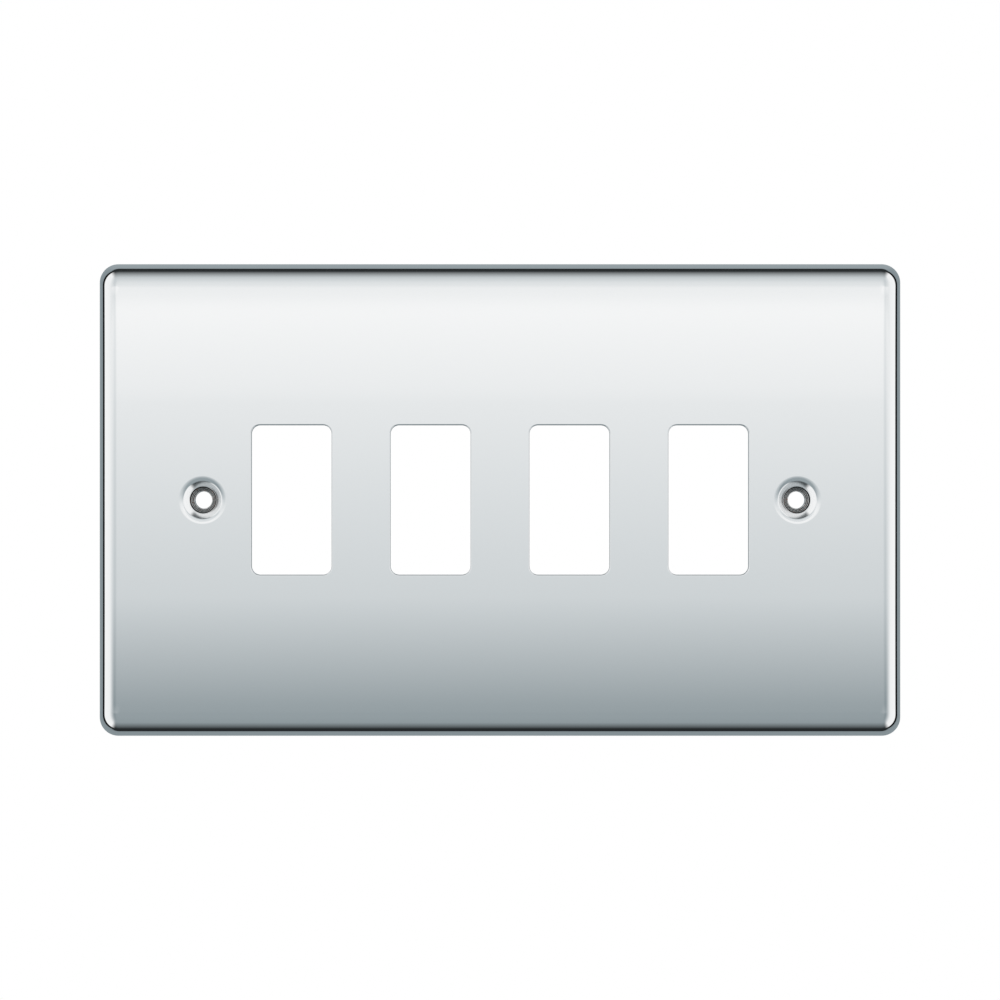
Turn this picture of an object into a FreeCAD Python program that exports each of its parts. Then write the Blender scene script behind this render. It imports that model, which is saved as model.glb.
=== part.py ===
"""Grid switch plate: the front plate of a four-gang grid switch, pressed from one steel sheet.

Millimetres. The plate is drawn upright, as it hangs on the wall: X is its width, Z its height, and
the room is on the -Y side. The wall plane is Y = 0, and the origin is the plate's centre in it.

The outer skin and the hollow behind it are two forms made by the same steps, the second inset by
the sheet's thickness. The plate is the first less the second, with the windows and holes punched.
"""
import FreeCAD, Part
import math
import os

import Sketcher
from FreeCAD import Vector

NODE = "front_plate"

SIZES = {
    # Outline: the face is flat behind the windows and falls away towards the top and bottom
    "plate_width": 146.0,
    "plate_height": 86.0,
    "plate_depth": 6.5,
    "side_from_screw": 19.5,
    "band_margin": 4.55,
    "face_fall": 1.1,
    "side_draft": 12.0,
    "sheet_thickness": 1.0,
    # Bend radii are those on the inside of each bend
    "edge_bend_radius": 2.4,
    # Switch windows, punched in a row
    "window_count": 4,
    "window_pitch": 25.0,
    "window_width": 14.4,
    "window_height": 26.9,
    "window_corner_radius": 1.55,
    "window_edge_round": 0.2,
    # Screw dimples: a shallow dish round a cone, struck into the face, with a hole in the cone's floor
    "screw_bore_diameter": 3.1,
    "dimple_floor_diameter": 3.4,
    "dimple_wall_angle": 45.0,
    "dimple_wall_depth": 1.75,
    "dimple_dish_angle": 11.0,
    "dimple_dish_width": 0.6,
    "dimple_dish_round": 3.0,
    "dimple_mouth_round": 0.45,
    "dimple_foot_bend_radius": 0.2,
}
# Sizes that follow from the ones above
DERIVED = {
    "screw_spacing": "=plate_width - 2 * side_from_screw",
    "flat_band_height": "=window_height + 2 * band_margin",
    "wall_slope": "=tan(dimple_wall_angle * 1 deg)",
    "dish_slope": "=tan(dimple_dish_angle * 1 deg)",
    "dimple_depth": "=dimple_wall_depth + dimple_dish_width * dish_slope",
    "dimple_mouth_radius": "=dimple_floor_diameter / 2 + dimple_wall_depth / wall_slope",
}

# How far a cutting profile runs past the metal that it cuts
PAST = 1.0
# How closely a place on the shape has to match when an edge or face is picked by it
NEAR = 0.02

doc = FreeCAD.newDocument("grid_switch_plate")
sheet = doc.addObject("Spreadsheet::Sheet", "sizes")
for row, (alias, value) in enumerate((SIZES | DERIVED).items(), start=1):
    sheet.set(f"A{row}", alias)
    sheet.set(f"B{row}", str(value))
    sheet.setAlias(f"B{row}", alias)
doc.recompute()


def size(alias):
    """The value of one cell of the sheet."""
    return float(sheet.get(alias))


def add_body(name):
    """An empty body with its own origin."""
    body = doc.addObject("PartDesign::Body", name)
    body.Label = name
    doc.recompute()
    return body


def origin_feature(body, role):
    """The body's own origin plane or axis with this role."""
    return next(feature for feature in body.Origin.OriginFeatures if feature.Role == role)


def add_sketch(body, name, plane):
    """A sketch on one of the body's origin planes."""
    sketch = body.newObject("Sketcher::SketchObject", name)
    sketch.AttachmentSupport = [(origin_feature(body, plane), "")]
    sketch.MapMode = "FlatFace"
    doc.recompute()
    return sketch


def hold(sketch, *terms):
    """Adds one constraint to a sketch."""
    return sketch.addConstraint(Sketcher.Constraint(*terms))


def bind(sketch, name, expression, *terms):
    """Adds a dimension to a sketch and ties it to the sheet."""
    index = hold(sketch, *terms)
    sketch.renameConstraint(index, name)
    sketch.setExpression(f"Constraints.{name}", expression)


def add_closed_outline(sketch, points):
    """Straight lines through the points and back to the first, joined end to end."""
    count = len(points)
    for place, point in enumerate(points):
        sketch.addGeometry(Part.LineSegment(point, points[(place + 1) % count]))
    for place in range(count):
        hold(sketch, "Coincident", place, 2, (place + 1) % count, 1)


def add_feature(body, kind, name, **settings):
    """A PartDesign feature with its settings, computed."""
    feature = body.newObject(f"PartDesign::{kind}", name)
    for setting, value in settings.items():
        setattr(feature, setting, value)
    doc.recompute()
    return feature


def add_fillet(body, name, base, test, radius):
    """A fillet on the base feature's edges that pass the test."""
    edges = enumerate(base.Shape.Edges, start=1)
    picked = [f"Edge{number}" for number, edge in edges if test(edge.BoundBox)]
    fillet = add_feature(body, "Fillet", name, Base=(base, picked))
    fillet.setExpression("Radius", radius)
    doc.recompute()
    return fillet


def add_mirrored(body, name, original):
    """The same feature again on the other side of the plate's middle."""
    mirrored = add_feature(body, "Mirrored", name, Originals=[original])
    mirrored.MirrorPlane = (origin_feature(body, "YZ_Plane"), [""])
    body.Tip = mirrored
    doc.recompute()
    return mirrored


face_y = -size("plate_depth")
floor_y = face_y + size("dimple_depth")
screw_x = size("screw_spacing") / 2
draft = math.radians(size("side_draft"))


def press_blank(body, inset, text):
    """The crowned block that one side of the sheet is rolled from."""
    half_height = size("plate_height") / 2 - inset / math.cos(draft)
    half_flat = size("flat_band_height") / 2
    arc_height = size("plate_height") / 2 - half_flat
    fall_radius = (arc_height**2 + size("face_fall") ** 2) / (2 * size("face_fall")) - inset
    front = face_y + inset
    fall_angle = math.asin((half_height - half_flat) / fall_radius)
    edge_y = front + fall_radius * (1 - math.cos(fall_angle))

    section = add_sketch(body, f"{body.Name}_section", "YZ_Plane")
    section.addGeometry(Part.LineSegment(Vector(0, -half_height, 0), Vector(0, half_height, 0)))
    section.addGeometry(Part.LineSegment(Vector(0, half_height, 0), Vector(edge_y, half_height, 0)))
    for side in (1, -1):
        circle = Part.Circle(Vector(front + fall_radius, side * half_flat, 0), Vector(0, 0, 1), fall_radius)
        section.addGeometry(Part.ArcOfCircle(circle, *sorted((math.pi, math.pi - side * fall_angle))))
    section.addGeometry(Part.LineSegment(Vector(front, half_flat, 0), Vector(front, -half_flat, 0)))
    section.addGeometry(Part.LineSegment(Vector(edge_y, -half_height, 0), Vector(0, -half_height, 0)))
    hold(section, "Coincident", 0, 2, 1, 1)
    hold(section, "Coincident", 1, 2, 2, 1)
    hold(section, "Tangent", 2, 2, 4, 1)
    hold(section, "Tangent", 4, 2, 3, 1)
    hold(section, "Coincident", 3, 2, 5, 1)
    hold(section, "Coincident", 5, 2, 0, 1)
    hold(section, "Horizontal", 1)
    hold(section, "Horizontal", 5)
    hold(section, "PointOnObject", 0, 1, -2)
    hold(section, "Symmetric", 0, 1, 0, 2, -1)
    hold(section, "Symmetric", 4, 1, 4, 2, -1)
    hold(section, "Equal", 2, 3)
    rim = f"2 * {text} / cos(sizes.side_draft * 1 deg)"
    bind(section, "height", f"sizes.plate_height - {rim}", "DistanceY", 0, 1, 0, 2, 2 * half_height)
    bind(section, "flat_band", "sizes.flat_band_height", "DistanceY", 4, 2, 4, 1, 2 * half_flat)
    bind(section, "depth", f"sizes.plate_depth - {text}", "DistanceX", 4, 1, -1, 1, -front)
    reach = "(sizes.plate_height - sizes.flat_band_height) ^ 2 / 4 + sizes.face_fall ^ 2"
    bind(section, "fall_radius", f"({reach}) / (2 * sizes.face_fall) - {text}", "Radius", 2, fall_radius)
    doc.recompute()
    blank = add_feature(body, "Pad", f"{body.Name}_blank", Profile=section, Midplane=True)
    blank.setExpression("Length", f"sizes.plate_width - {rim}")
    doc.recompute()
    return blank


def lean_and_roll(body, blank, text):
    """Leans the four sides in from the rim, and rolls the corners and the edge of the face."""
    box = blank.Shape.BoundBox
    lean = size("plate_depth") * math.tan(draft) + NEAR

    def is_side(face):
        return min(face.XLength, face.ZLength) < NEAR

    def is_outer_edge(edge):
        beside = abs(edge.Center.x) > box.XMax - lean
        return edge.YMin < -NEAR and (beside or abs(edge.Center.z) > box.ZMax - lean)

    faces = enumerate(blank.Shape.Faces, start=1)
    sides = [f"Face{number}" for number, face in faces if is_side(face.BoundBox)]
    drafted = add_feature(body, "Draft", f"{body.Name}_drafted_sides", Base=(blank, sides))
    drafted.NeutralPlane = (origin_feature(body, "XZ_Plane"), [""])
    drafted.setExpression("Angle", "sizes.side_draft * 1 deg")
    doc.recompute()
    radius = f"sizes.edge_bend_radius + sizes.sheet_thickness - {text}"
    return add_fillet(body, f"{body.Name}_rolled_edge", drafted, is_outer_edge, radius)


def is_ring(edge, radius, y):
    """Whether an edge's box is that of a circle round one of the two screws' axes."""
    on_axis = abs(abs(edge.Center.x) - screw_x) < NEAR
    return on_axis and abs(edge.XLength / 2 - radius) < NEAR and abs(edge.Center.y - y) < NEAR


def press_dimples(body, inset, text):
    """Two cones, each in a shallow dish, struck into one side of the sheet and eased at the foot."""
    wall = math.atan(size("wall_slope"))
    dish = math.atan(size("dish_slope"))
    front = face_y + inset
    floor = floor_y + inset
    floor_radius = size("dimple_floor_diameter") / 2 + inset * math.tan(wall / 2)
    spread = (1 / math.cos(wall) - 1 / math.cos(dish)) / (math.tan(wall) - math.tan(dish))
    mouth_radius = size("dimple_mouth_radius") + inset * spread
    mouth = floor - (mouth_radius - floor_radius) * math.tan(wall)
    dish_radius = size("dimple_mouth_radius") + size("dimple_dish_width") + inset * math.tan(dish / 2)

    section = add_sketch(body, f"{body.Name}_dimple_section", "XY_Plane")
    outline = [
        Vector(screw_x, front - PAST, 0),
        Vector(screw_x, floor, 0),
        Vector(screw_x + floor_radius, floor, 0),
        Vector(screw_x + mouth_radius, mouth, 0),
        Vector(screw_x + dish_radius, front, 0),
        Vector(screw_x + dish_radius, front - PAST, 0),
    ]
    add_closed_outline(section, outline)
    for line in (0, 4):
        hold(section, "Vertical", line)
    for line in (1, 5):
        hold(section, "Horizontal", line)
    wall_text = "sizes.dimple_wall_angle * 1 deg"
    dish_text = "sizes.dimple_dish_angle * 1 deg"
    below = f"sizes.plate_depth - sizes.dimple_depth - {text}"
    floor_text = f"sizes.dimple_floor_diameter / 2 + {text} * tan({wall_text} / 2)"
    steeper = f"(1 / cos({wall_text}) - 1 / cos({dish_text}))"
    mouth_text = f"sizes.dimple_mouth_radius + {text} * {steeper} / (sizes.wall_slope - sizes.dish_slope)"
    rise_text = f"({mouth_text} - ({floor_text})) * sizes.wall_slope"
    dish_text = f"sizes.dimple_mouth_radius + sizes.dimple_dish_width + {text} * tan({dish_text} / 2)"
    bind(section, "place", "sizes.screw_spacing / 2", "DistanceX", -1, 1, 0, 1, screw_x)
    bind(section, "floor", below, "DistanceY", 0, 2, -1, 1, -floor)
    bind(section, "floor_radius", floor_text, "DistanceX", 1, 1, 1, 2, floor_radius)
    bind(section, "mouth_radius", mouth_text, "DistanceX", 0, 2, 2, 2, mouth_radius)
    bind(section, "mouth", rise_text, "DistanceY", 2, 2, 2, 1, floor - mouth)
    bind(section, "dish_radius", dish_text, "DistanceX", 5, 2, 5, 1, dish_radius)
    bind(section, "face", f"sizes.plate_depth - {text}", "DistanceY", 4, 1, -1, 1, -front)
    bind(section, "above", f"{PAST}", "DistanceY", 4, 2, 4, 1, PAST)
    doc.recompute()
    axis = (section, ["Edge1"])
    dimple = add_feature(body, "Groove", f"{body.Name}_dimple", Profile=section, ReferenceAxis=axis)
    both = add_mirrored(body, f"{body.Name}_other_dimple", dimple)

    def is_foot(edge):
        return is_ring(edge, floor_radius, floor)

    return add_fillet(body, f"{body.Name}_feet", both, is_foot, f"sizes.dimple_foot_bend_radius + {text}")


def ease_dimples(body, dimples):
    """Rounds the front of each dimple, where the face turns into the dish and the dish into the cone."""
    mouth_radius = size("dimple_mouth_radius")
    dish_radius = mouth_radius + size("dimple_dish_width")
    mouth = floor_y - size("dimple_wall_depth")

    def is_rim(edge):
        return is_ring(edge, dish_radius, face_y)

    def is_mouth(edge):
        return is_ring(edge, mouth_radius, mouth)

    rims = add_fillet(body, f"{body.Name}_dish_rims", dimples, is_rim, "sizes.dimple_dish_round")
    return add_fillet(body, f"{body.Name}_mouths", rims, is_mouth, "sizes.dimple_mouth_round")


def press_form(name, inset, text):
    """One side of the sheet, as a solid: the outer skin, or the hollow behind the sheet."""
    body = add_body(name)
    blank = press_blank(body, inset, text)
    lean_and_roll(body, blank, text)
    dimples = press_dimples(body, inset, text)
    return body, dimples


def punch_windows(body):
    """One window outline punched through and repeated in a row, its corners and front edge rounded."""
    half_width = size("window_width") / 2
    half_height = size("window_height") / 2
    row = size("window_pitch") * (size("window_count") - 1)
    left = -row / 2 - half_width

    outline = add_sketch(body, "window_outline", "XZ_Plane")
    corners = [
        Vector(left, -half_height, 0),
        Vector(left + 2 * half_width, -half_height, 0),
        Vector(left + 2 * half_width, half_height, 0),
        Vector(left, half_height, 0),
    ]
    add_closed_outline(outline, corners)
    for line, direction in enumerate(("Horizontal", "Vertical", "Horizontal", "Vertical")):
        hold(outline, direction, line)
    row_text = "sizes.window_pitch * (sizes.window_count - 1)"
    place = f"({row_text} + sizes.window_width) / 2"
    bind(outline, "width", "sizes.window_width", "DistanceX", 0, 1, 0, 2, 2 * half_width)
    bind(outline, "height", "sizes.window_height", "DistanceY", 1, 1, 1, 2, 2 * half_height)
    bind(outline, "place", place, "DistanceX", 0, 1, -1, 1, -left)
    bind(outline, "drop", "sizes.window_height / 2", "DistanceY", 0, 1, -1, 1, half_height)
    window = add_feature(body, "Pocket", "window", Profile=outline, Type="ThroughAll", Midplane=True)
    windows = add_feature(body, "LinearPattern", "windows", Originals=[window])
    windows.Direction = (outline, ["H_Axis"])
    windows.setExpression("Length", row_text)
    windows.setExpression("Occurrences", "sizes.window_count")
    body.Tip = windows
    doc.recompute()

    def in_row(edge):
        across = max(-edge.XMin, edge.XMax) < row / 2 + half_width + NEAR
        return across and max(-edge.ZMin, edge.ZMax) < half_height + NEAR

    def is_corner(edge):
        return in_row(edge) and edge.XLength < NEAR and edge.ZLength < NEAR

    def is_front_rim(edge):
        return in_row(edge) and edge.YMax < face_y + size("sheet_thickness") / 2

    cornered = add_fillet(body, "window_corners", windows, is_corner, "sizes.window_corner_radius")
    return add_fillet(body, "window_rims", cornered, is_front_rim, "sizes.window_edge_round")


def bore_screw_holes(body):
    """A plain hole through the floor of each dimple."""
    circle = add_sketch(body, "screw_hole_outline", "XZ_Plane")
    circle.addGeometry(Part.Circle(Vector(screw_x, 0, 0), Vector(0, 0, 1), size("screw_bore_diameter") / 2))
    hold(circle, "PointOnObject", 0, 3, -1)
    bind(circle, "place", "sizes.screw_spacing / 2", "DistanceX", -1, 1, 0, 3, screw_x)
    bind(circle, "bore", "sizes.screw_bore_diameter", "Diameter", 0, size("screw_bore_diameter"))
    doc.recompute()
    hole = add_feature(body, "Pocket", "screw_hole", Profile=circle, Type="ThroughAll", Midplane=True)
    return add_mirrored(body, "other_screw_hole", hole)


plate, dimples = press_form(NODE, 0.0, "0")
ease_dimples(plate, dimples)
hollow, dimples_behind = press_form("hollow", size("sheet_thickness"), "sizes.sheet_thickness")
pressing = add_feature(plate, "Boolean", "pressing", Type="Cut")
pressing.addObjects([hollow])
doc.recompute()
punched = punch_windows(plate)
bored = bore_screw_holes(plate)

# Nothing is written unless every step held and cut what it should
broken = [item.Name for item in doc.Objects if {"Invalid", "Error"} & set(item.State)]
if broken:
    raise RuntimeError(f"These steps failed: {broken}")
if plate.Shape.isNull() or not plate.Shape.isValid() or len(plate.Shape.Solids) != 1:
    raise RuntimeError("The front plate isn't one sound solid")
if not pressing.Shape.Volume > punched.Shape.Volume > bored.Shape.Volume:
    raise RuntimeError("The windows or the screw holes cut nothing")

os.makedirs("parts", exist_ok=True)
plate.Shape.exportStep(f"parts/{plate.Label}.step")
print(f"{plate.Label}: {plate.Shape.Volume:.1f} mm3, {len(plate.Shape.Faces)} faces")
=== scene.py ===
"""The grid switch plate's looks: one sheet of steel, pressed, punched and chrome plated."""

import math

import bmesh
import bpy
from mathutils import Matrix, Vector


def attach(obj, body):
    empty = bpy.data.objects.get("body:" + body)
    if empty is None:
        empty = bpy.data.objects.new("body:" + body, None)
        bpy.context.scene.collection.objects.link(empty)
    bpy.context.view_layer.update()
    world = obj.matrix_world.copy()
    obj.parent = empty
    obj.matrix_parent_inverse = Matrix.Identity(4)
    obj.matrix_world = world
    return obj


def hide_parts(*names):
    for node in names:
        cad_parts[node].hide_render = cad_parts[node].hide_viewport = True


# The plate's own sizes, in millimetres, as in its construction
WIDTH = 146.0
HEIGHT = 86.0
DEPTH = 6.5
SHEET = 1.0
HALF_FLAT = 18.0
FACE_FALL = 1.1
DRAFT = math.radians(12.0)
EDGE_BEND = 2.4
WINDOW_COUNT = 4
WINDOW_PITCH = 25.0
WINDOW_WIDTH = 14.4
WINDOW_HEIGHT = 26.9
WINDOW_CORNER = 1.55
WINDOW_ROUND = 0.2
SCREW_X = 53.5
BORE = 1.55
DIMPLE_FLOOR = 1.7
WALL = math.radians(45.0)
WALL_DEPTH = 1.75
DISH = math.radians(11.0)
DISH_WIDTH = 0.6
DISH_ROUND = 3.0
MOUTH_ROUND = 0.45
FOOT_BEND = 0.2

WINDOW_MIDDLES = [WINDOW_PITCH * (place - (WINDOW_COUNT - 1) / 2) for place in range(WINDOW_COUNT)]

# How finely the curves are cut, and the angle from which an edge shows as a crease
CORNER_STEPS = 14
ARC_STEPS = 14
EDGE_STEPS = 16
WINDOW_CORNER_STEPS = 10
WINDOW_ROUND_STEPS = 6
TURN_STEPS = 96
MOUTH_STEPS = 12
FOOT_STEPS = 8
CREASE = math.radians(20.0)

# How far inside the arc's end, the flat band's limit and the rolled sides the face has one more line
ARC_LINE = 0.05
BAND_LINE = 0.4
SIDE_LINE = 0.5

# The flat collar round each window and dimple, and the narrow strip of it beside the rounding
WINDOW_COLLAR = 0.5
DIMPLE_COLLAR = 1.4
STRIP = 0.02

# How close counts as the same place, and how much of a normal counts as looking that way
NEAR = 1e-4
ON_RING = 0.01
FACING = 0.9

TO_METRES = Matrix.Scale(0.001, 4)

# The materials' places on the plate
FACE, BACK, CUT = range(3)

# The drilled surface low in a screw hole, with a near-black ring of painted shade round its edge, and the
# unbuffed ring outside it, from the screw's axis
DRILLED = 2.43
DRILLED_BLUR = 0.06
RIDGE_PITCH = 0.24
RIDGE_WANDER = 0.16
# How far the near-black ring of painted shade at the drilled surface's edge reaches
EDGE_SHADE = (0.09, 0.20)
UNBUFFED = (3.4, 4.8)

CHROME = 0.90

# The studio's levels, from 0 for black to 255 for white. Each goes with an angle, in degrees, from
# straight ahead of the plate's face at 0 to straight behind it at 180.
AHEAD = 220
ABOVE = [(0, AHEAD), (3, 235), (11, 245), (15, 225), (50, 200), (90, 50), (110, 30), (117, 155)]
BELOW = [(0, AHEAD), (3, 205), (13, 155), (50, 150), (90, 45), (110, 30), (117, 140)]
BESIDE = [(0, AHEAD), (25, 205), (60, 240), (95, 245), (99, 0), (114, 0), (118, 140)]
TURNED_AWAY = (25.0, 60.0)
SIDEWAYS = (0.12, 0.35)
DEGREES = 180 / math.pi

# The floor, in metres
FLOOR_PLACE = Vector((0.0, -0.16, -0.13))
FLOOR_REACH = 0.34
FLOOR_FADE = (0.18, 0.33)


def bevel(bm, parts, width, segments, affect="EDGES"):
    """Rounds edges, or a face's corners."""
    bmesh.ops.bevel(
        bm, geom=parts, affect=affect, offset=width, offset_type="OFFSET", segments=segments,
        profile=0.5, material=-1, clamp_overlap=False)


def cut_across(bm, axis, places):
    """Cuts every face that the planes square to an axis meet at these places."""
    normal = Vector([float(axis == place) for place in range(3)])
    for place in places:
        everything = bm.verts[:] + bm.edges[:] + bm.faces[:]
        bmesh.ops.bisect_plane(bm, geom=everything, dist=NEAR, plane_co=normal * place, plane_no=normal)


def bridge(bm, test):
    """Joins the two open loops whose vertices' places pass the test."""
    edges = [edge for edge in bm.edges if edge.is_boundary and all(test(vert.co) for vert in edge.verts)]
    bmesh.ops.bridge_loops(bm, edges=edges)


def to_object(bm, name):
    """The finished mesh as an object of the scene."""
    mesh = bpy.data.meshes.new(name)
    bm.to_mesh(mesh)
    bm.free()
    made = bpy.data.objects.new(name, mesh)
    bpy.context.scene.collection.objects.link(made)
    return made


def fall_at(height, inset):
    """How far the face has fallen back at this height."""
    reach = HEIGHT / 2 - HALF_FLAT
    radius = (reach**2 + FACE_FALL**2) / (2 * FACE_FALL) - inset
    past = max(abs(height) - HALF_FLAT, 0.0)
    return radius - math.sqrt(radius**2 - past**2)


def press_blank(bm, inset):
    """An open box with leaning sides, rounded corners and a face that falls away up and down.

    Returns the flat band between the two arcs, which the windows and the dimples take the place of.
    """
    front = inset - DEPTH
    rim = inset / math.cos(DRAFT)
    half_width = WIDTH / 2 - rim
    half_height = HEIGHT / 2 - rim
    radius = EDGE_BEND + SHEET - inset
    size = Matrix.Diagonal((2 * half_width, -front, 2 * half_height, 1))
    bmesh.ops.create_cube(bm, size=1.0, matrix=Matrix.Translation((0, front / 2, 0)) @ size)
    back = [face for face in bm.faces if face.normal.y > FACING]
    bmesh.ops.delete(bm, geom=back, context="FACES_ONLY")

    upright = [edge for edge in bm.edges if abs(edge.verts[0].co.y - edge.verts[1].co.y) > NEAR]
    bevel(bm, upright, radius, CORNER_STEPS)
    lean = math.tan(DRAFT) * (DEPTH - inset)
    roll = radius * math.tan((math.pi / 2 - DRAFT) / 2)
    arc = half_height - radius - lean - ARC_LINE - HALF_FLAT
    heights = [HALF_FLAT + arc * step / ARC_STEPS for step in range(ARC_STEPS + 1)]
    cut_across(bm, 2, [side * height for side in (1, -1) for height in [HALF_FLAT - BAND_LINE] + heights])

    side_reach = half_width - radius - 2 * NEAR
    top_reach = half_height - radius - 2 * NEAR
    for vert in bm.verts:
        if vert.co.y > -NEAR:
            continue
        at_top = abs(vert.co.z) > top_reach
        vert.co.y = front + fall_at(abs(vert.co.z) - (lean if at_top else 0.0), inset)
        moved = math.tan(DRAFT) * -vert.co.y
        if abs(vert.co.x) > side_reach:
            vert.co.x -= math.copysign(moved, vert.co.x)
        if at_top:
            vert.co.z -= math.copysign(moved, vert.co.z)
    bm.normal_update()

    def is_face(face):
        return face.normal.y < -FACING

    lip = [edge for edge in bm.edges if len(edge.link_faces) == 2
           and is_face(edge.link_faces[0]) != is_face(edge.link_faces[1])]
    bevel(bm, lip, roll, EDGE_STEPS)
    inner = half_width - lean - roll - SIDE_LINE
    cut_across(bm, 0, [inner, -inner])
    return [face for face in bm.faces if face.calc_area() > 2 * HALF_FLAT * inner]


def press_window(bm, middle, inset):
    """The face round one window, down to the punched edge. Returns the blank that is punched out."""
    front = inset - DEPTH
    rounding = 0.0 if inset else WINDOW_ROUND
    border = rounding + WINDOW_COLLAR
    turn = Matrix.Translation((middle, front, 0)) @ Matrix.Rotation(math.pi / 2, 4, "X")
    patch = Matrix.Diagonal((WINDOW_WIDTH + 2 * border, WINDOW_HEIGHT + 2 * border, 1, 1))
    made = bmesh.ops.create_grid(bm, x_segments=1, y_segments=1, size=0.5, matrix=turn @ patch)
    bevel(bm, made["verts"], WINDOW_CORNER + border, WINDOW_CORNER_STEPS, "VERTICES")

    def from_middle(face):
        place = face.calc_center_median()
        return abs(place.x - middle) + abs(place.z)

    blank = min((face for face in bm.faces if len(face.verts) > WINDOW_CORNER_STEPS), key=from_middle)
    for flat in (WINDOW_COLLAR - STRIP, STRIP):
        bmesh.ops.inset_individual(bm, faces=[blank], thickness=flat, depth=0.0, use_even_offset=True)
    steps = WINDOW_ROUND_STEPS if rounding else 0
    for step in range(steps):
        here, there = (math.pi / 2 * place / steps for place in (step, step + 1))
        inwards = rounding * (math.sin(there) - math.sin(here))
        down = rounding * (math.cos(there) - math.cos(here))
        bmesh.ops.inset_individual(bm, faces=[blank], thickness=inwards, depth=down, use_even_offset=True)
    return blank


def press_dimple(bm, side, inset):
    """One sunk screw hole's share of this side of the sheet, turned about the screw's axis."""
    front = inset - DEPTH
    floor = front + WALL_DEPTH + DISH_WIDTH * math.tan(DISH)
    foot = DIMPLE_FLOOR + inset * math.tan(WALL / 2)
    spread = (1 / math.cos(WALL) - 1 / math.cos(DISH)) / (math.tan(WALL) - math.tan(DISH))
    top = DIMPLE_FLOOR + WALL_DEPTH / math.tan(WALL)
    mouth = top + inset * spread
    mouth_depth = floor - (mouth - foot) * math.tan(WALL)
    dish = top + DISH_WIDTH + inset * math.tan(DISH / 2)
    easing = 0.0 if inset else DISH_ROUND * math.tan(DISH / 2)
    section = [(dish + DIMPLE_COLLAR, front), (dish + easing + STRIP, front), (dish, front),
               (mouth, mouth_depth), (foot, floor), (BORE, floor)]
    line = [bm.verts.new((side * (SCREW_X + radius), depth, 0)) for radius, depth in section]
    edges = [bm.edges.new(pair) for pair in zip(line, line[1:])]
    bmesh.ops.spin(bm, geom=line + edges, cent=(side * SCREW_X, 0, 0), axis=(0, 1, 0),
                   angle=2 * math.pi, steps=TURN_STEPS, use_merge=True)

    def ring(radius, depth):
        def on_ring(vert):
            off = abs(math.hypot(abs(vert.co.x) - SCREW_X, vert.co.z) - radius)
            return vert.co.x * side > 0 and off < ON_RING and abs(vert.co.y - depth) < ON_RING
        return [edge for edge in bm.edges if all(on_ring(vert) for vert in edge.verts)]

    if not inset:
        bevel(bm, ring(dish, front), easing, MOUTH_STEPS)
        bevel(bm, ring(mouth, mouth_depth), MOUTH_ROUND * math.tan((WALL - DISH) / 2), MOUTH_STEPS)
    bevel(bm, ring(foot, floor), (FOOT_BEND + inset) * math.tan(WALL / 2), FOOT_STEPS)


def press_side(inset):
    """One whole side of the sheet: the outer skin, or the inner one a sheet's thickness behind it."""
    bm = bmesh.new()
    band = press_blank(bm, inset)
    bmesh.ops.delete(bm, geom=band, context="FACES_ONLY")
    blanks = [press_window(bm, middle, inset) for middle in WINDOW_MIDDLES]
    for side in (1, -1):
        press_dimple(bm, side, inset)
    front = inset - DEPTH
    around = [edge for edge in bm.edges if edge.is_boundary
              and all(abs(vert.co.y - front) < NEAR for vert in edge.verts)]
    bmesh.ops.triangle_fill(bm, use_beauty=True, edges=around, normal=(0, -1, 0))
    bmesh.ops.delete(bm, geom=blanks, context="FACES_ONLY")
    bmesh.ops.recalc_face_normals(bm, faces=bm.faces)
    if max(bm.faces, key=lambda face: face.calc_area()).normal.y > 0:
        bmesh.ops.reverse_faces(bm, faces=bm.faces)
    for face in bm.faces:
        face.material_index = BACK if inset else FACE
    mesh = bpy.data.meshes.new("side")
    bm.to_mesh(mesh)
    bm.free()
    return mesh


def press_plate():
    """Both sides of the sheet, joined across the rim, the windows' edges and the two bores."""
    bm = bmesh.new()
    for inset in (SHEET, 0.0):
        side = press_side(inset)
        bm.from_mesh(side)
        bpy.data.meshes.remove(side)
        if inset:
            bmesh.ops.reverse_faces(bm, faces=bm.faces)
    skin = set(bm.faces)

    bridge(bm, lambda at: at.y > -NEAR)
    for middle in WINDOW_MIDDLES:
        bridge(bm, lambda at: abs(at.x - middle) < WINDOW_PITCH / 2)
    for side in (1, -1):
        bridge(bm, lambda at: at.x * side > SCREW_X - 2 * BORE)
    for face in set(bm.faces) - skin:
        face.material_index = CUT
    bmesh.ops.recalc_face_normals(bm, faces=bm.faces)
    for face in bm.faces:
        face.smooth = True
    for edge in bm.edges:
        edge.smooth = edge.calc_face_angle(0.0) < CREASE
    bmesh.ops.transform(bm, matrix=TO_METRES, verts=bm.verts)
    return to_object(bm, "pressed_plate")


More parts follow.
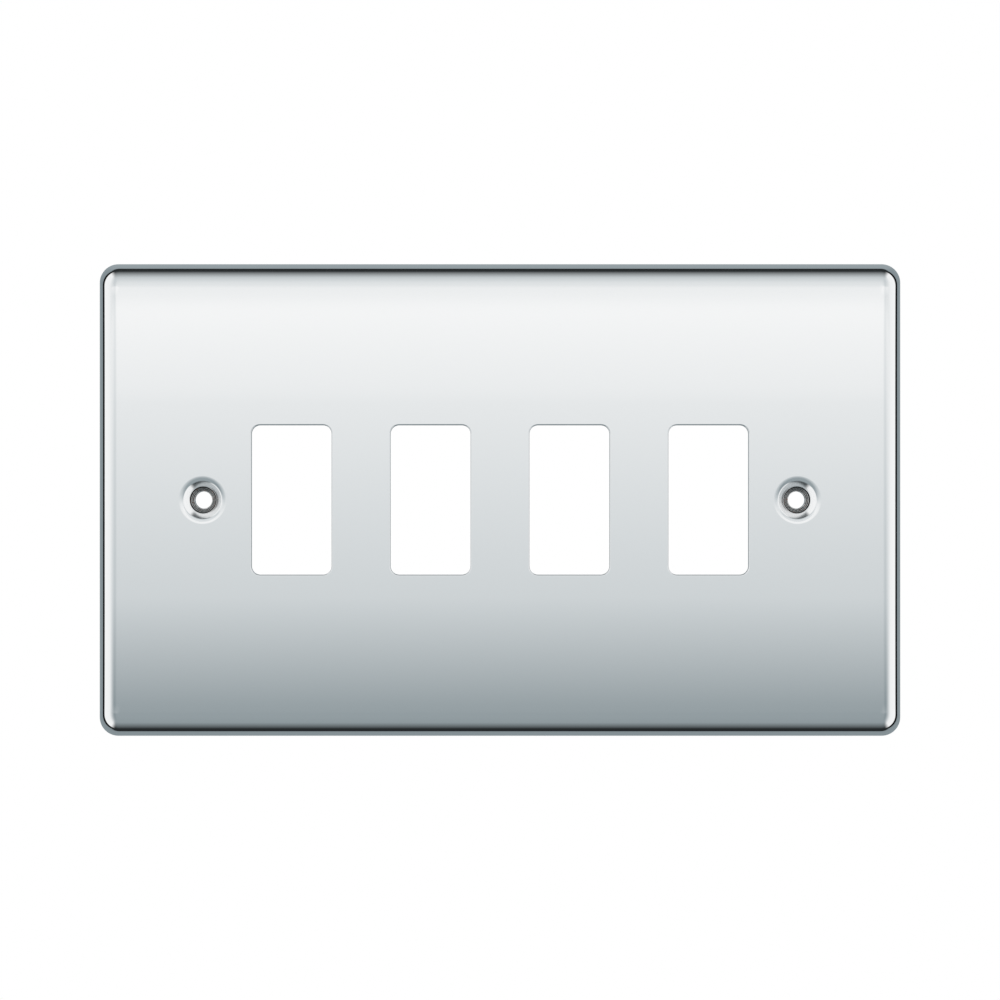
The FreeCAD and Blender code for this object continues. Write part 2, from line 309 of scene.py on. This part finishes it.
class Link:
    """A socket that a node puts out. Arithmetic on links adds Math nodes to their tree."""

    def __init__(self, tree, socket=None):
        self.tree = tree
        self.socket = socket

    def add(self, kind, settings=None, values=None, out=0):
        """A new node with its settings and its inputs' values or links, as a link to one output."""
        node = self.tree.nodes.new(kind)
        for name, setting in (settings or {}).items():
            setattr(node, name, setting)
        for name, value in (values or {}).items():
            if isinstance(value, Link):
                self.tree.links.new(value.socket, node.inputs[name])
            else:
                node.inputs[name].default_value = value
        return Link(self.tree, node.outputs[out] if node.outputs else None)

    def other(self, out):
        """Another output of the same node."""
        return Link(self.tree, self.socket.node.outputs[out])

    def math(self, operation, *values):
        return self.add("ShaderNodeMath", {"operation": operation}, dict(enumerate(values)))

    def blend(self, factor, first, second, kind="MIX"):
        """A mix of two colours."""
        settings = {"data_type": "RGBA", "blend_type": kind, "clamp_factor": True}
        return self.add("ShaderNodeMix", settings, {0: factor, 6: first, 7: second}, 2)

    def ramp(self, stops):
        """A colour read from a row of stops, each a place from 0 to 1 and its colour."""
        made = self.add("ShaderNodeValToRGB", None, {"Fac": self})
        elements = made.socket.node.color_ramp.elements
        while len(elements) > 1:
            elements.remove(elements[-1])
        for number, (place, colour) in enumerate(stops):
            stop = elements.new(place) if number else elements[0]
            stop.position = place
            stop.color = (*colour, 1.0)
        return made

    def __add__(self, other):
        return self.math("ADD", self, other)

    def __sub__(self, other):
        return self.math("SUBTRACT", self, other)

    def __mul__(self, other):
        return self.math("MULTIPLY", self, other)

    def __truediv__(self, other):
        return self.math("DIVIDE", self, other)

    def __rsub__(self, other):
        return self.math("SUBTRACT", other, self)

    __radd__ = __add__


def smooth_step(value, low, high):
    """0 below low and 1 above high, easing between them."""
    values = {"Value": value, "From Min": low, "From Max": high}
    return value.add("ShaderNodeMapRange", {"interpolation_type": "SMOOTHSTEP"}, values)


def shade(level):
    """The light that a display level from 0 to 255 stands for: a cool grey, warming to white."""
    cool = 0.07 * min((255 - level) / 125, 1.0) ** 1.2
    shares = (level * part / 255 for part in (1 - cool, 1 + 0.22 * cool, 1 + 0.75 * cool))
    return [share / 12.92 if share <= 0.04045 else ((share + 0.055) / 1.055) ** 2.4 for share in shares]


def profile(angle, levels):
    """The studio's brightness along one arc round the plate."""
    return (angle / 180.0).ramp([(place / 180, shade(level)) for place, level in levels])


def studio():
    """The room that the chrome shows, and the white behind it. The plate's face looks along -Y."""
    world = bpy.data.worlds.new("studio")
    world.use_nodes = True
    tree = world.node_tree
    tree.nodes.clear()
    start = Link(tree)
    towards = start.add("ShaderNodeTexCoord", out="Generated")
    split = towards.add("ShaderNodeSeparateXYZ", None, {0: towards})
    x, y, z = (split.other(place) for place in range(3))
    to_camera = 0.0 - y
    rise = z.math("ARCTAN2", z, to_camera) * DEGREES
    turn = x.math("ARCTAN2", x.math("ABSOLUTE", x), to_camera) * DEGREES

    above = profile(rise, ABOVE)
    below = profile(0.0 - rise, BELOW)
    beside = profile(turn, BESIDE)
    upright = above.blend(z.math("GREATER_THAN", z, 0.0), below, above)

    # Until it has turned well away, the room beside the plate also brightens and darkens with height
    change = upright.blend(1.0, upright, (*shade(AHEAD), 1.0), "DIVIDE")
    near = 1.0 - smooth_step(turn, *TURNED_AWAY)
    tilted = beside.blend(near, beside, change, "MULTIPLY")

    # 0 ahead, above and below, and nearing 1 to the sides
    across = x * x
    sideways = across / (across + z * z + 0.2)
    seen = upright.blend(smooth_step(sideways, *SIDEWAYS), upright, tilted)

    def light(colour, strength=1.0):
        return start.add("ShaderNodeBackground", None, {"Color": colour, "Strength": strength})

    path = start.add("ShaderNodeLightPath", out="Is Camera Ray")
    mirrored = path.other("Is Glossy Ray") + path.other("Is Transmission Ray")
    room = light((0.8, 0.8, 0.8, 1.0))
    gloss = light(seen, 1.0 / CHROME)
    white = light((1.0, 1.0, 1.0, 1.0))
    lit = start.add("ShaderNodeMixShader", None, {0: mirrored, 1: room, 2: gloss})
    shown = start.add("ShaderNodeMixShader", None, {0: path, 1: lit, 2: white})
    start.add("ShaderNodeOutputWorld", None, {"Surface": shown})
    bpy.context.scene.world = world


def new_material(name):
    """An empty material, and the start of its node tree."""
    material = bpy.data.materials.new(name)
    material.use_nodes = True
    material.node_tree.nodes.clear()
    return material, Link(material.node_tree)


def finish(dress):
    """A material whose one Principled shader takes its inputs from a function of the tree's start."""
    material, start = new_material(dress.__name__)
    surface = start.add("ShaderNodeBsdfPrincipled", None, dress(start))
    start.add("ShaderNodeOutputMaterial", None, {"Surface": surface})
    return material


def millimetres(start):
    """The place on the plate, in millimetres, with its parts across and up."""
    place = start.add("ShaderNodeTexCoord", out="Object")
    place = place.add("ShaderNodeVectorMath", {"operation": "SCALE"}, {0: place, "Scale": 1000.0})
    split = place.add("ShaderNodeSeparateXYZ", None, {0: place})
    return place, split.other(0), split.other(2)


def stretched(place, shares):
    """The place with its parts scaled, which draws a pattern out along the axis with the small share."""
    return place.add("ShaderNodeVectorMath", {"operation": "MULTIPLY"}, {0: place, 1: shares})


def noise(place, scale, detail=3.0):
    values = {"Vector": place, "Scale": scale, "Detail": detail}
    return place.add("ShaderNodeTexNoise", None, values)


def polished_chrome(start):
    """Mirror-bright plating, a little duller round the screw holes and rough where they are drilled, with
    near-black lines and a near-black ring of painted shade there.
    """
    place, x, z = millimetres(start)
    off = x.math("ABSOLUTE", x) - SCREW_X
    away = x.math("SQRT", off * off + z * z)
    drilled = 1.0 - smooth_step(away, DRILLED - DRILLED_BLUR, DRILLED + DRILLED_BLUR)
    cloud = noise(place, 0.12)
    grit = noise(place, 4.0, 6.0)
    wander = away + grit * RIDGE_WANDER
    ridges = away.math("SINE", wander * (2 * math.pi / RIDGE_PITCH)) * 0.5 + 0.5
    # Painted shade: a near-black ring at the drilled surface's edge and near-black lines between its
    # ridges, drawn into the colour
    edge_shade = 1.0 - smooth_step(away.math("ABSOLUTE", wander - DRILLED), *EDGE_SHADE)
    lines = smooth_step(ridges, 0.10, 0.70) * (1.0 - edge_shade)
    speck = smooth_step(noise(place, 4.2, 2.0), 0.62, 0.70)
    # The bare grey of the drilled metal is its own colour; the near-black lines and ring over it are
    # painted shade, with copper-coloured specks on top
    drilled_colour_and_shade = start.blend(lines, (0.012, 0.012, 0.012, 1.0), (0.60, 0.60, 0.59, 1.0))
    drilled_colour_and_shade = start.blend(speck, drilled_colour_and_shade, (0.34, 0.17, 0.12, 1.0))
    unbuffed = 1.0 - smooth_step(away, *UNBUFFED)
    bump = {"Strength": 1.0, "Distance": 0.00004, "Height": (ridges + grit) * drilled}
    return {
        "Base Color": start.blend(drilled, (CHROME, CHROME, CHROME, 1.0), drilled_colour_and_shade),
        "Metallic": 1.0,
        "Roughness": 0.035 + cloud * 0.03 + unbuffed * 0.07 + drilled * 0.25,
        "Normal": start.add("ShaderNodeBump", None, bump),
    }


def dull_back(start):
    """The unpolished side: plated too, but satin, with the faint lines of the rolled sheet."""
    place = millimetres(start)[0]
    lines = noise(stretched(place, (0.03, 1.0, 1.0)), 5.0, 4.0)
    cloud = noise(place, 0.09, 4.0)
    tone = start.blend(lines * 0.5 + cloud * 0.5, (0.62, 0.62, 0.62, 1.0), (0.84, 0.84, 0.83, 1.0))
    bump = {"Strength": 0.5, "Distance": 0.00001, "Height": lines}
    return {
        "Base Color": tone,
        "Metallic": 1.0,
        "Roughness": 0.30 + lines * 0.12 + cloud * 0.08,
        "Normal": start.add("ShaderNodeBump", None, bump),
    }


def sheared_edge(start):
    """The cut edge of the sheet, plated over the fine lines that the punch leaves through it."""
    lines = noise(stretched(millimetres(start)[0], (1.0, 0.08, 1.0)), 9.0, 4.0)
    bump = {"Strength": 0.6, "Distance": 0.00002, "Height": lines}
    return {
        "Base Color": start.blend(lines, (0.62, 0.63, 0.64, 1.0), (0.86, 0.87, 0.88, 1.0)),
        "Metallic": 1.0,
        "Roughness": 0.16 + lines * 0.16,
        "Normal": start.add("ShaderNodeBump", None, bump),
    }


def pale_floor():
    """A plain pale floor well below the plate, fading out into the white around it."""
    bm = bmesh.new()
    bmesh.ops.create_grid(bm, x_segments=1, y_segments=1, size=FLOOR_REACH,
                          matrix=Matrix.Translation(FLOOR_PLACE))
    floor = to_object(bm, "floor")
    material, start = new_material("floor")
    place = start.add("ShaderNodeTexCoord", out="Object")
    split = place.add("ShaderNodeSeparateXYZ", None, {0: place})
    x, y = split.other(0), split.other(1) - FLOOR_PLACE.y
    away = x.math("SQRT", x * x + y * y)
    pale = start.add("ShaderNodeBsdfDiffuse", None, {"Color": (0.93, 0.93, 0.93, 1.0)})
    clear = start.add("ShaderNodeBsdfTransparent")
    surface = start.add("ShaderNodeMixShader", None, {0: smooth_step(away, *FLOOR_FADE), 1: pale, 2: clear})
    start.add("ShaderNodeOutputMaterial", None, {"Surface": surface})
    floor.data.materials.append(material)
    floor.visible_glossy = False


def soft_lamp():
    """One wide lamp above and in front, which only lays a soft shadow on the floor."""
    lamp = bpy.data.lights.new("soft_lamp", "AREA")
    lamp.shape = "RECTANGLE"
    lamp.size = 0.6
    lamp.size_y = 0.6
    lamp.energy = 2.0
    lamp_object = bpy.data.objects.new("soft_lamp", lamp)
    lamp_object.location = (0.0, -0.25, 0.55)
    lamp_object.rotation_euler = (math.radians(-24), 0.0, 0.0)
    lamp_object.visible_glossy = False
    bpy.context.scene.collection.objects.link(lamp_object)


def camera():
    """Straight in front of the plate's middle, level with it."""
    lens = bpy.data.cameras.new("camera")
    lens.sensor_width = 36.0
    lens.lens = 90.1
    lens.clip_start = 0.01
    view = bpy.data.objects.new("camera", lens)
    view.location = (0.0, -0.4565, 0.0)
    view.rotation_euler = (math.pi / 2, 0.0, 0.0)
    bpy.context.scene.collection.objects.link(view)
    bpy.context.scene.camera = view


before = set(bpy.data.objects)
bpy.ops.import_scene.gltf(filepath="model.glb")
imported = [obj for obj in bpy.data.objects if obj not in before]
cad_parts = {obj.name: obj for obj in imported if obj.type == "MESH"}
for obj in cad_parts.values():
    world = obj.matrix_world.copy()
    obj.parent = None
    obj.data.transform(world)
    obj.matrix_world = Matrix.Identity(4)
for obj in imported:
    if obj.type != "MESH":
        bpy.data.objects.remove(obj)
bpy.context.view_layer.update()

plate = press_plate()
for dress in (polished_chrome, dull_back, sheared_edge):
    plate.data.materials.append(finish(dress))
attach(plate, "root")
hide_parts("front_plate")

pale_floor()
soft_lamp()
studio()
camera()
bpy.context.scene.view_settings.view_transform = "Standard"
